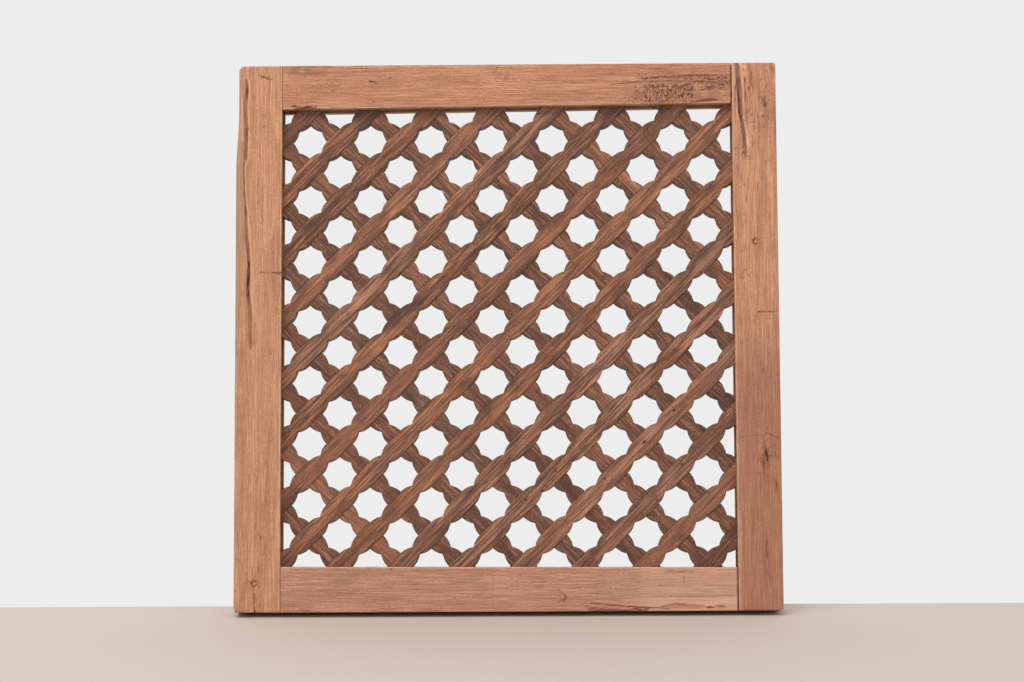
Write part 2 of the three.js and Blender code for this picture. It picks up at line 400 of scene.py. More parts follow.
# %% Marks on the rails
top_marks = [
    ([(-155, 598), (-145, 594.5)], 0.9, 0.6, 0.8),
    ([(-131, 601)], 1.1, 0.5, 0.8),
    ([(-150, 574)], 1.1, 0.5, 0.8),
    ([(-76, 592)], 0.9, 0.5, 0.7),
    ([(-25, 575)], 0.9, 0.5, 0.7),
    ([(66, 595.5)], 0.9, 0.5, 0.7),
    ([(-240, 566), (-226, 567), (-213, 565.5)], 2.4, 1.3, 0.7),
    ([(211, 570.2), (226, 573), (239, 573.4)], 1.5, 1.1, 0.5),
    ([(209, 568.9), (228, 570.9), (246, 570.3)], 0.7, -0.2, -0.8),
    *strokes(200, (146, 213), (568.5, 591), 4.2, 66, 12, 0.6, 0.6, 0.9),
    *strokes(24, (126, 150), (570, 588), 4, 60, 21, 0.6, 0.4, 0.6),
    *strokes(130, (158, 251), (584, 603), 5.5, 16, 13, 0.6, 0.45, 0.8),
    *strokes(50, (145, 251), (574, 606), 3.5, 82, 20, 0.55, 0.4, 0.7),
    ([(151.8, 598.2), (194.8, 601.2), (241, 601.8)], 0.7, 0.4, 0.7),
    ([(161.6, 609.6), (182.2, 609.5)], 0.7, 0.3, 0.7),
    ([(118, 592), (152, 595)], 0.7, 0.3, 0.6),
    *strokes(16, (-18, 7), (595, 615), 9, 90, 14, 0.8, 0.15, 0.4),
    *strokes(16, (-240, -213), (564.5, 570), 8, 6, 15, 0.9, 0.7, 0.85),
    *strokes(18, (-215, -185), (585, 600), 5, 10, 16, 0.7, 0.3, 0.6),
    *strokes(30, (-120, 120), (572, 612), 12, 0, 17, 0.6, 0.2, 0.4),
    ([(200, 590), (210, 592)], 1.6, 0.5, 0.7),
    ([(226, 586), (236, 587)], 1.2, 0.4, 0.6),
    ([(-249, 607), (-199, 606)], 1.6, 0.2, 0.4),
    ([(-210, 593), (-188, 592)], 3.4, 0.1, 0.34),
    ([(-11, 611), (-10, 596)], 5.0, 0.0, 0.27),
    ([(1, 610), (2, 598)], 5.0, 0.0, 0.27),
]
bottom_marks = [
    ([(26, 33), (44, 32)], 0.8, 0.4, 0.6),
    ([(28, 29), (40, 28.5)], 0.7, 0.3, 0.5),
    ([(30, 36.5), (43, 36)], 0.7, 0.3, 0.5),
    ([(11, 40), (16, 41)], 0.6, 0.3, 0.5),
    ([(-131, 49), (-128, 46)], 0.7, 0.5, 0.7),
    ([(155, 15.6), (195, 15.8), (224, 16), (252, 15.9)], 0.6, 0.3, 0.5),
    ([(170.6, 4.7), (188, 5.2), (202, 4.6), (217, 4.4)], 2.7, 1.0, 0.42),
    ([(177.7, 6.8), (200, 6.8)], 0.9, 0.4, 0.5),
    ([(229.2, 5.1), (241, 4.3)], 2.0, 0.8, 0.5),
    ([(217, 4.3), (220.7, 6.2), (226.3, 6.4), (230, 3.7)], 0.8, 0.0, -0.9),
    ([(219, 3.8), (228.6, 3.9)], 1.0, 0.9, 1.0),
    ([(90, 9), (128, 5.5), (160, 3.6), (170, 3.3), (180, 1.8)], 0.8, 0.6, 0.7),
    ([(171, 42.9), (188.7, 42.8), (208.5, 43.1)], 1.3, 0.3, 0.4),
    ([(171, 46), (186, 45.7)], 0.9, 0.2, 0.3),
    ([(195, 38), (194.9, 30)], 0.8, 0.3, 0.5),
    ([(90, 0.5), (121, 0), (154, 0.6)], 2.4, 1.1, 0.45),
    ([(-234, 2), (-219, 2)], 1.8, 0.4, 0.5),
    ([(55.5, 26), (57.5, 22), (62, 20)], 1.3, 0.3, 0.5),
    ([(62, 20), (64, 15), (61, 10)], 2.2, 0.6, 0.62),
    ([(57, 17), (60.5, 13), (55, 10)], 0.9, 0.3, 0.5),
    *strokes(40, (-250, 250), (4, 46), 11, 0, 18, 0.6, 0.2, 0.4),
    *strokes(22, (86, 157), (0, 5), 6, 0, 19, 0.9, 0.8, 0.6),
]
print("rail marks", len(top_marks), len(bottom_marks))

# %% [markdown]
# The long edges of a board are functions of the place along it. The left stile is worn narrow
# near its top, its bottom corner is chipped, and the right stile's corners are soft.

# %% Sizes and edges of the boards
worn_edge_inset = 2.8
worn_edge_length = 62.0
worn_edge_run_out = 50.0
worn_top_corner = 6.0
chipped_corner_width = 1.6
chipped_corner_height = 6.0
soft_top_corner = 2.0
soft_bottom_corner = 3.5
groove_wall = 0.02
groove_front = lattice_recess - groove_clearance
groove_back = lattice_back + groove_clearance
member_rows = np.array([0, 1.8, 5, groove_front, groove_front + groove_wall,
                        groove_back - groove_wall, groove_back, 35.5, panel_depth])
groove_rows = (4, 5)
board_grain = ((46, 3.4, 0.55, 2.2, 0.6), (17, 1.8, 0.6, 2.5, 0.4))
board_pitch = 1.35
fine_pitch = 0.7
fine_column_pitch = 0.75
rail_height = 50
planed_roughness = 0.22
splinter_rise = 0.05


def left_outer_edge(z):
    worn = 1 - np.clip((panel_height - worn_edge_length - z) / worn_edge_run_out, 0, 1)
    edge = -panel_width / 2 + worn_edge_inset * worn
    edge = edge + arris_drop(panel_height - z, worn_top_corner)
    return edge + chipped_corner_width * np.clip(1 - z / chipped_corner_height, 0, 1)


def right_outer_edge(z):
    edge = panel_width / 2 - arris_drop(panel_height - z, soft_top_corner)
    return edge - arris_drop(z, soft_bottom_corner)


def edge_columns(width, pitch, fine_low, fine_high):
    """Columns across a board: close at both edges, and fine over one run of it."""
    close = np.array([0, 0.35, 0.9, 1.8])
    inner = [close[-1]]
    while inner[-1] < width - close[-1] - 1e-6:
        step = fine_column_pitch if fine_low <= inner[-1] < fine_high else pitch
        inner.append(min(inner[-1] + step, width - close[-1]))
    if inner[-1] - inner[-2] < 0.3:
        inner.pop(-2)
    return np.concatenate([close[:-1], inner, width - close[:-1][::-1]]) / width

# %% [markdown]
# The wood isn't the same everywhere. These functions say where its tone has changed, where painted
# shade darkens the right stile low down, where its grain is torn and where its surface is rough.

# %% Weathered, torn and rough places
def weathering_and_shade(x, z):
    """Where the tone has changed: by the long split, in patches, at the pale end below, and by
    painted shade low on the right stile.
    """
    outside_split = smooth_step(-297, -298.5, x) * smooth_step(300, 360, z)
    rail_patch = smooth_step(604, 610, z) * smooth_step(-252, -240, x) * smooth_step(-190, -205, x)
    torn_patch = 0.6 * smooth_step(125, 150, x) * smooth_step(256, 250, x) \
        * smooth_step(568, 574, z) * smooth_step(606, 598, z)
    # Painted shade, darker towards the bottom of the right stile.
    low_painted_shade = smooth_step(255, 262, x) * smooth_step(330, 250, z)
    mottle = smooth_step(0.3, 0.7, field(x / 7, z / 7, 77))
    pale_end = smooth_step(110, 170, x) * smooth_step(254, 253, x) * smooth_step(60, 50, z) \
        * (0.5 + 0.5 * smooth_step(18, 13, z))
    return np.maximum(outside_split, np.maximum(rail_patch, torn_patch) * mottle) * 0.7 \
        + low_painted_shade * 0.55 + pale_end * 0.8


def torn_grain(x, z):
    """Where the grain of the top rail tore: a low patch, and a higher one further right."""
    low = smooth_step(138, 176, x) * smooth_step(216, 206, x) * smooth_step(594, 588, z)
    high = smooth_step(158, 180, x) * smooth_step(582, 588, z) * smooth_step(606, 600, z)
    return np.maximum(low, 0.7 * high)


def torn(x, z):
    """The top rail is rough where its grain tore."""
    return planed_roughness + 0.75 * smooth_step(118, 160, x) * smooth_step(608, 598, z)


def weathered_top(x, z):
    """The right stile is rough near its top."""
    return planed_roughness + 0.5 * smooth_step(500, 570, z)


def planed(x, z):
    return planed_roughness + 0 * x

# %% [markdown]
# A board is a block between its two edges. Its front sinks with its furrows and marks, and its
# edges fall back on a circle. The groove for the strips is two rows of the block, pushed into the
# inner edge. The grid is finest where the deep splits and the torn grain are.

# %% One board
def board_stations(ends, fine_run):
    """Places along a board, closer together over its fine run."""
    if fine_run is None:
        return spread(ends[0], ends[1], board_pitch)
    runs = [spread(ends[0], fine_run[0], board_pitch),
            spread(fine_run[0], fine_run[1], fine_pitch),
            spread(fine_run[1], ends[1], board_pitch)]
    return np.unique(np.concatenate(runs))


def member(name, low_edge, high_edge, ends, upright, columns, marks, seed, roughness,
           fine_run=None):
    """A board. If it is upright, its edges are x and its length is z, and else z and x."""
    stations = board_stations(ends, fine_run)
    mesh, station, column, row = block(len(stations), len(columns), len(member_rows))
    along = stations[station]
    low = low_edge(along)
    high = high_edge(along)
    depth = member_rows[row]
    wobble = (field(along / 11, depth / 5, seed + 5) - 0.5) * 0.25
    across = low + (high - low) * columns[column]
    on_low = column == 0
    on_high = column == len(columns) - 1
    inner_is_high = name in ("left_stile", "bottom_rail")
    on_inner = on_high if inner_is_high else on_low
    inward = -1 if inner_is_high else 1
    if upright:
        grooved = (along > bottom_rail_edge(0) - groove_depth) \
            & (along < top_rail_edge(0) + groove_depth)
    else:
        grooved = np.ones(len(along), bool)
    in_groove = on_inner & grooved & np.isin(row, groove_rows)
    across = across + np.where(in_groove, inward * groove_depth, 0)
    across = across + np.where((on_low | on_high) & ~in_groove & (row > 0), wobble, 0)
    front = row == 0
    back = row == len(member_rows) - 1
    x, z = (across, along) if upright else (along, across)
    sunk, stain, bare = mark_fields(x, z, marks, seed, (1.8, 7) if upright else (5, 1.8))
    from_end = np.minimum(along - ends[0], ends[1] - along)
    inset = np.minimum(np.minimum(across - low, high - across), from_end)
    soft = 0.9 + 0.9 * field(along / 16, across * 0 + 3, seed + 9)
    drop = arris_drop(np.maximum(inset, 0), soft)
    hollow = furrows(along, across, seed, *board_grain)
    rough = roughness(x, z)
    warp = (field(along / 70, across / 40, seed + 7) - 0.5) * 0.5
    depth = depth + np.where(front, hollow * rough + warp + drop + sunk, 0)
    depth = depth - np.where(back, hollow * 0.35 + drop, 0)
    depth = np.maximum(depth, -splinter_rise if name == "top_rail" else 0)
    mesh.vertices.foreach_set("co", to_metres(x, depth, z).ravel())
    bm = bmesh.new()
    bm.from_mesh(mesh)
    bmesh.ops.recalc_face_normals(bm, faces=bm.faces)
    bm.to_mesh(mesh)
    bm.free()
    mesh.attributes.remove(mesh.attributes["row"])
    facing_opening = (high - across if inner_is_high else across - low) < 1.2
    # The front arris round the opening is painted lighter: partly wear, partly a painted
    # highlight.
    opening_edge_wear_and_highlight = front & facing_opening & (from_end > 1.5)
    bare_arris_and_highlight = np.where(opening_edge_wear_and_highlight, 0.25 + 0.75 * field(along / 7, across / 3, seed + 11), 0)
    bare_arris_and_highlight = np.maximum(bare_arris_and_highlight, np.where(front, bare, 0))
    # The faces round the opening are painted darker: partly darker wood, partly painted shade.
    side_wall_dirt_and_shade = np.where(on_inner & (row > 0), 1.0, 0.0)
    set_attribute(mesh, "grain", along * MM + seed * 0.37, across * MM + seed * 0.11, depth * MM)
    set_attribute(mesh, "wear_and_painted_light", bare_arris_and_highlight, np.where(front, stain, 0),
                  np.where(front, hollow * np.clip(rough * 2.2, 0, 1), 0.3))
    torn_here = torn_grain(x, z) * front if name == "top_rail" else 0 * x
    set_attribute(mesh, "place", side_wall_dirt_and_shade, weathering_and_shade(x, z) * front, torn_here)
    piece = add_piece(mesh, name + "_wood", name)
    print(name, len(mesh.polygons), "faces")
    return piece

# %% [markdown]
# The stiles run the whole height. The rails fit between them with a thin gap.

# %% The four boards
left_columns = edge_columns(left_stile_width, 1.7, 6, 19)
right_columns = edge_columns(right_stile_width, 1.7, 4, 18)
top_columns = edge_columns(rail_height, 1.5, 0, 38)
bottom_columns = edge_columns(rail_height, 1.5, 0, 9)
rail_ends = (opening_left + left_joint_gap, opening_right - right_joint_gap)
members = {
    "left_stile": member("left_stile", left_outer_edge, lambda z: opening_left + 0 * z,
                         (0, panel_height), True, left_columns, left_marks, 11, planed),
    "right_stile": member("right_stile", lambda z: opening_right + 0 * z, right_outer_edge,
                          (0, panel_height), True, right_columns, right_marks, 23,
                          weathered_top),
    "top_rail": member("top_rail", top_rail_edge, lambda x: panel_height + 0 * x,
                       rail_ends, False, top_columns, top_marks, 37, torn, (128, 253)),
    "bottom_rail": member("bottom_rail", lambda x: 0 * x, bottom_rail_edge,
                          rail_ends, False, bottom_columns, bottom_marks, 51, planed),
}

# %% [markdown]
# Each strip is a batten with scalloped sides: full width where another strip crosses, and
# waisted between, where two rounded lobes meet in a sharp nick. Each lobe is an arc, so the width
# is worked out from a circle. Where two strips cross, each is halved, one from the front and one
# from the back. Two stations that almost coincide make the straight walls of a notch.

# %% Strip outlines
diagonal = math.sqrt(0.5)
strip_pitch = 2.3
notch_wall = 0.03
scallop_run = strip_spacing / 2 - crossing_half
scallop_rise = (strip_width - strip_waist) / 2
scallop_radius = (scallop_run ** 2 + scallop_rise ** 2) / (2 * scallop_rise)
opening_width = opening_right - opening_left
opening_height = panel_height - top_rail_heights[0] - bottom_rail_heights[0]
corner_reach = (opening_width + opening_height) / 2 * diagonal - strip_width
print(f"scallop radius {scallop_radius:.1f} mm")


def strip_offsets(first_share):
    """Distances of a family's strips from the middle of the panel."""
    steps = math.floor(corner_reach / strip_spacing + first_share)
    count = int(2 * (steps - first_share)) + 1
    return [(first_share - steps + k) * strip_spacing for k in range(count)]


def strip_front(rising):
    """How deep the front of a strip lies behind the front of the frame."""
    return lattice_recess + (0 if rising else falling_step)


def half_width(along, crossings):
    """Half the width of a strip at places along it. The lobes go on past the last crossing."""
    into_lobe = np.mod(along - crossings[0] + strip_spacing / 2, strip_spacing)
    gap = np.abs(into_lobe - strip_spacing / 2)
    past_crossing = np.clip(gap - crossing_half, 0, scallop_run)
    return strip_width / 2 - scallop_radius + np.sqrt(scallop_radius ** 2 - past_crossing ** 2)


def strip_stations(low, high, crossings):
    """Places along a strip, with a close pair at each edge of each notch."""
    places = list(spread(low, high, strip_pitch))
    for crossing in crossings:
        for edge in (crossing - crossing_half, crossing + crossing_half):
            if low + 1 < edge < high - 1:
                places = [place for place in places if abs(place - edge) > 0.8]
                places += [edge - notch_wall / 2, edge + notch_wall / 2]
    return np.array(sorted(places))

# %% [markdown]
# Some strips are smooth and warm, and some are grey and deeply furrowed. A table gives each its
# two tones, the strength of its dark lines, the depth of its furrows and how grey its ends are.
# A knot and a few worm holes are placed as on the frame.

# %% Wood tones and the character of each strip
tones = {
    "bark": (104, 68, 53),
    "umber": (124, 82, 64),
    "chestnut": (152, 102, 78),
    "russet": (136, 86, 68),
    "tawny": (170, 112, 84),
    "amber": (184, 122, 88),
    "rose": (168, 120, 98),
    "honey": (188, 134, 106),
    "ash": (126, 98, 84),
    "soot": (78, 54, 44),
}
Look = namedtuple("Look", "light dark lines furrow grey_low grey_high")
rising_looks = [Look(*row) for row in [
    ("umber", "bark", 0.45, 0.15, 0.2, 0.1),
    ("amber", "umber", 0.85, 0.8, 0.2, 1.0),
    ("amber", "umber", 0.85, 0.55, 0.2, 0.4),
    ("tawny", "chestnut", 0.6, 0.15, 0.0, 0.1),
    ("honey", "chestnut", 0.8, 0.35, 0.1, 0.2),
    ("amber", "umber", 0.95, 0.7, 0.1, 0.6),
    ("tawny", "umber", 0.45, 0.15, 0.0, 0.1),
    ("amber", "chestnut", 0.7, 0.15, 0.1, 0.0),
    ("amber", "umber", 0.6, 0.25, 0.0, 0.0),
    ("honey", "chestnut", 0.8, 0.3, 0.2, 0.2),
    ("honey", "chestnut", 0.85, 0.35, 0.0, 0.0),
    ("honey", "chestnut", 0.55, 0.18, 0.0, 0.0),
    ("rose", "umber", 0.55, 0.12, 0.1, 0.1),
    ("tawny", "chestnut", 0.4, 0.12, 0.0, 0.0),
    ("russet", "bark", 0.6, 0.15, 0.0, 0.1),
]]
# The falling strips are given darker tones than the rising ones: partly their own wood, partly
# painted shade.
falling_looks_with_shade = [Look(*row) for row in [
    ("chestnut", "umber", 0.75, 0.3, 0.3, 0.1),
    ("tawny", "chestnut", 0.45, 0.18, 0.1, 0.1),
    ("russet", "bark", 0.4, 0.15, 0.1, 0.1),
    ("russet", "umber", 0.85, 0.25, 0.0, 0.1),
    ("ash", "umber", 0.65, 0.2, 0.1, 0.1),
    ("russet", "bark", 0.6, 0.25, 0.1, 0.1),
    ("chestnut", "umber", 0.6, 0.25, 0.2, 0.1),
    ("chestnut", "umber", 0.7, 0.2, 0.0, 0.0),
    ("chestnut", "umber", 0.9, 0.35, 0.1, 0.1),
    ("tawny", "umber", 1.0, 0.5, 0.3, 0.2),
    ("chestnut", "bark", 0.75, 0.35, 0.3, 0.2),
    ("amber", "umber", 0.65, 0.25, 0.1, 0.1),
    ("chestnut", "umber", 0.6, 0.3, 0.1, 0.1),
    ("russet", "umber", 0.55, 0.25, 0.2, 0.1),
]]
worm_holes = [(38.3, 133.3), (43.3, 138.5), (53.9, 155.9), (20.1, 123.9), (153.2, 187.5),
              (107.9, 147.1), (187.1, 222.8), (194.9, 162.5), (166.8, 123.1)]
strip_marks = [
    ([(159, 541.7), (161, 543.5)], 1.7, 1.2, 0.95),
    ([(74, 390), (75.5, 391)], 1.6, 1.0, 0.9),
    *[([place], 1.8, 1.0, 1.0) for place in worm_holes],
    *knot_marks(-8, 280, 4.0),
]

# %% [markdown]
# A strip is made along its own line and then set on the diagonal. The ends are cut off inside
# the groove with four planes, and the cut faces are filled, so every strip is closed.

# %% Where strips run and end
strip_rows = np.array([0, 2.6, 8.5, strip_thickness])
strip_grain = ((38, 3.0, 0.5, 2.4, 0.65), (15, 1.5, 0.55, 2.5, 0.35))
close_columns = np.array([0, 0.3, 0.8, 1.6])
inner_columns = np.linspace(-1, 1, 13)
cut_allowance = 4
strip_sink = 0.17
end_grow = groove_depth - strip_end_gap
cut_left = opening_left - end_grow
cut_right = opening_right + end_grow


def cutting_planes():
    """Points and outward normals of the four planes that end the strips, in metres."""
    corners = [(cut_left, bottom_rail_edge(cut_left) - end_grow),
               (cut_right, bottom_rail_edge(cut_right) - end_grow),
               (cut_right, top_rail_edge(cut_right) + end_grow),
               (cut_left, top_rail_edge(cut_left) + end_grow)]
    planes = []
    for (x0, z0), (x1, z1) in zip(corners, corners[1:] + corners[:1]):
        point = to_metres(np.array([x0]), np.array([0.0]), np.array([z0]))[0]
        planes.append((Vector(point.tolist()), Vector((z1 - z0, 0, x0 - x1)).normalized()))
    return planes


def strip_reach(centre_x, centre_z, step_z):
    """How far a strip runs along its line between the cuts, with a little to cut off."""
    low, high = [], []
    for side in (-strip_width / 2, strip_width / 2):
        x = centre_x - step_z * side * diagonal
        z = centre_z + side * diagonal
        across_x = sorted([(cut_left - x) / diagonal, (cut_right - x) / diagonal])
        bottom = min(bottom_rail_heights) - end_grow
        top = panel_height + end_grow - min(top_rail_heights)
        across_z = sorted([(bottom - z) / (step_z * diagonal), (top - z) / (step_z * diagonal)])
        if min(across_x[1], across_z[1]) > max(across_x[0], across_z[0]):
            low.append(max(across_x[0], across_z[0]))
            high.append(min(across_x[1], across_z[1]))
    return min(low) - cut_allowance, max(high) + cut_allowance


def place_strip(along, across, offset, step_z):
    """Places on a strip as x and height on the panel."""
    side = across - offset if step_z > 0 else across + offset
    x = (along - step_z * side) * diagonal
    z = (step_z * along + side) * diagonal + panel_height / 2
    return x, z

# %% [markdown]
# The front of a strip sinks with its furrows and its rounded edges. At a notch, all its rows are
# squeezed into what the halving leaves. The cuts add vertices, so what the finish reads is
# worked out again from the mesh.

# %% One strip
def strip(name, offset, crossings, rising, look, seed):
    """One halved and scalloped strip, set on the diagonal."""
    step_z = 1 if rising else -1
    centre_x, centre_z = place_strip(0.0, 0.0, offset, step_z)
    low, high = strip_reach(centre_x, centre_z, step_z)
    stations = strip_stations(low, high, crossings)
    close_count = len(close_columns) - 1
    column_count = len(inner_columns) + 2 * close_count
    mesh, station, column, row = block(len(stations), column_count, len(strip_rows))
    along = stations[station]
    half = half_width(along, crossings)
    half = half + (field(along / 9, 0 * along + row, seed + 2) - 0.5) * 0.35
    from_low = np.minimum(column, column_count - 1 - column)
    near = from_low < close_count
    side = np.where(column < column_count / 2, -1, 1)
    inner_index = np.clip(column - close_count, 0, len(inner_columns) - 1)
    across = np.where(near, side * (half - close_columns[np.minimum(from_low, close_count)]),
                      inner_columns[inner_index] * (half - close_columns[-1]))
    inset = half - np.abs(across)
    hollow = furrows(along, across, seed, *strip_grain)
    x, z = place_strip(along, across, offset, step_z)
    sunk = mark_fields(x, z, strip_marks, seed)[0] if rising else 0
    soft = 0.7 + 0.8 * field(along / 12, side * 3.0, seed + 9)
    warp = (field(along / 50, across / 25, seed + 7) - 0.5) * 0.35
    front = row == 0
    back = row == len(strip_rows) - 1
    start = strip_front(rising)
    relief = hollow * look.furrow + warp + strip_sink + arris_drop(inset, soft) + sunk
    depth = start + strip_rows[row] + np.where(front, relief, 0)
    depth = depth - np.where(back, hollow * 0.25 + arris_drop(inset, 0.8), 0)
    gap = np.min(np.abs(along[:, None] - np.array(crossings)[None, :]), axis=1)
    notched = gap < crossing_half
    finish = start + strip_thickness
    if rising:
        lap = lap_depth - lap_clearance / 2
        depth = np.where(notched, start + (depth - start) * (lap - start) / strip_thickness, depth)
        depth = np.where(notched & front, start + relief, depth)
    else:
        lap = lap_depth + lap_clearance / 2
        depth = np.where(notched, lap + (depth - start) * (finish - lap) / strip_thickness, depth)
    mesh.vertices.foreach_set("co", to_metres(x, depth, z).ravel())
    bm = bmesh.new()
    bm.from_mesh(mesh)
    for point, normal in cutting_planes():
        bmesh.ops.bisect_plane(bm, geom=bm.verts[:] + bm.edges[:] + bm.faces[:], dist=1e-7,
                               plane_co=point, plane_no=normal, clear_outer=True)
        open_edges = [edge for edge in bm.edges if edge.is_boundary]
        if open_edges:
            bmesh.ops.holes_fill(bm, edges=open_edges, sides=0)
    bmesh.ops.dissolve_degenerate(bm, dist=2e-6, edges=bm.edges)
    bmesh.ops.recalc_face_normals(bm, faces=bm.faces)
    bm.to_mesh(mesh)
    open_count = sum(edge.is_boundary for edge in bm.edges)
    bm.free()
    mesh.attributes.remove(mesh.attributes["row"])
    dress_strip(mesh, offset, crossings, rising, look, seed)
    piece = add_piece(mesh, name + "_wood", name)
    print(name, len(mesh.polygons), "faces", open_count, "open edges")
    return piece


def dress_strip(mesh, offset, crossings, rising, look, seed):
    """Writes what the finish reads: grain, wear and place, with painted shade and highlight at the
    edges.
    """
    step_z = 1 if rising else -1
    x, depth, z = to_panel(read_places(mesh))
    up = z - panel_height / 2
    along = (x + step_z * up) * diagonal
    across = (up - step_z * x) * diagonal + (offset if rising else -offset)
    half = half_width(along, crossings)
    inset = half - np.abs(across)
    start = strip_front(rising)
    hollow = furrows(along, across, seed, *strip_grain)
    front = depth < start + 2.2
    stain = mark_fields(x, z, strip_marks, seed)[1] if rising else 0 * x
    # Painted shade along the rounded edges of the front, with a faint painted highlight on them.
    edge_shade_and_highlight = smooth_step(1.9, 0.2, inset) * (0.3 + 0.7 * field(along / 6, across / 3, seed + 11))
    # The side walls are painted darker the deeper they lie behind the front, and the back a
    # little: partly darker wood, partly painted shade.
    side_wall_dirt_and_shade = smooth_step(1.6, 4.5, depth - start)
    side_wall_dirt_and_shade = np.where(depth > start + strip_thickness - 0.9, 0.4, side_wall_dirt_and_shade)
    share = (along - along.min()) / max(along.max() - along.min(), 1)
    ends = look.grey_low * smooth_step(0.45, 0.0, share) \
        + look.grey_high * smooth_step(0.5, 1.0, share)
    patch = ends * smooth_step(0.3, 0.65, field(along / 30, across / 7, seed + 13))
    set_attribute(mesh, "grain", along * MM + seed * 0.37, across * MM + seed * 0.11, depth * MM)
    furrowed = 0.35 + min(0.65, look.furrow * 1.3)
    # A faint painted highlight goes into the arris channel, and painted edge shade into the last
    # channel of place.
    set_attribute(mesh, "wear_and_painted_light", edge_shade_and_highlight * 0.12, stain * front, hollow * front * furrowed)
    set_attribute(mesh, "place", side_wall_dirt_and_shade, patch, edge_shade_and_highlight * front)

# %% [markdown]
# One family has a strip through the middle of the panel. The other's middle is between two.

# %% Both families of strips
rising_offsets = strip_offsets(0)
falling_offsets = strip_offsets(0.5)
families = [("rising", rising_offsets, falling_offsets, rising_looks, 100),
            ("falling", falling_offsets, rising_offsets, falling_looks_with_shade, 600)]
strips = {}
for family, offsets, crossings, looks, first_seed in families:
    for k, offset in enumerate(offsets):
        name = f"{family}_strip_{k + 1:02d}"
        seed = first_seed + 20 * k
        strips[name] = strip(name, offset, crossings, family == "rising", looks[k], seed), looks[k]

# %% [markdown]
# Shader maths reads best as plain expressions. One small class wraps a socket and gives it the
# usual operators, and one method adds any other node with its settings and its inputs.

# %% Shader helper
class Term:
    """A socket of a material that can be added, multiplied and mixed."""

    def __init__(self, tree, socket):
        self.tree = tree
        self.socket = socket

    def math(self, operation, first, second):
        return add_node(self.tree, "ShaderNodeMath", {"operation": operation},
                        {0: first, 1: second})

    def __add__(self, other):
        return self.math("ADD", self, other)

    __radd__ = __add__

    def __sub__(self, other):
        return self.math("SUBTRACT", self, other)

    def __mul__(self, other):
        return self.math("MULTIPLY", self, other)

    def __abs__(self):
        return self.math("ABSOLUTE", self, 0.0)

    def between(self, low, high):
        """This value as a share, smoothly from 0 at low to 1 at high."""
        return add_node(self.tree, "ShaderNodeMapRange", {"interpolation_type": "SMOOTHSTEP"},
                        {0: self, 1: low, 2: high})


def add_node(tree, kind, settings, inputs, output=0):
    """Adds a node, feeds its sockets and gives back one of its outputs."""
    node = tree.nodes.new(kind)
    for key, value in settings.items():
        setattr(node, key, value)
    for key, value in inputs.items():
        if isinstance(value, Term):
            tree.links.new(value.socket, node.inputs[key])
        else:
            node.inputs[key].default_value = value
    return Term(tree, node.outputs[output])


def linear(colour):
    """A colour as seen on a screen, from 0 to 255, as Blender's linear values."""
    shares = [value / 255 for value in colour]
    values = [share / 12.92 if share <= 0.04045 else ((share + 0.055) / 1.055) ** 2.4
              for share in shares]
    return (*values, 1.0)

# %% [markdown]
# All the wood shares one finish. Broad bands go between a light and a dark tone, and thin lines
# run along the grain. Grey patches, stains, furrows and bare arrises are read from the mesh, which
# keeps colour and relief together. The mesh also carries painted shade on the side walls, along
# the strips' edges and low on the right stile, and a painted highlight on the arrises.

# %% Wood finish
pale_strip = 155
sun_glow = (190, 116, 70)
torn_fleck = (96, 62, 46)
faint_stain = (118, 68, 50)
deep_stain = (46, 30, 24)


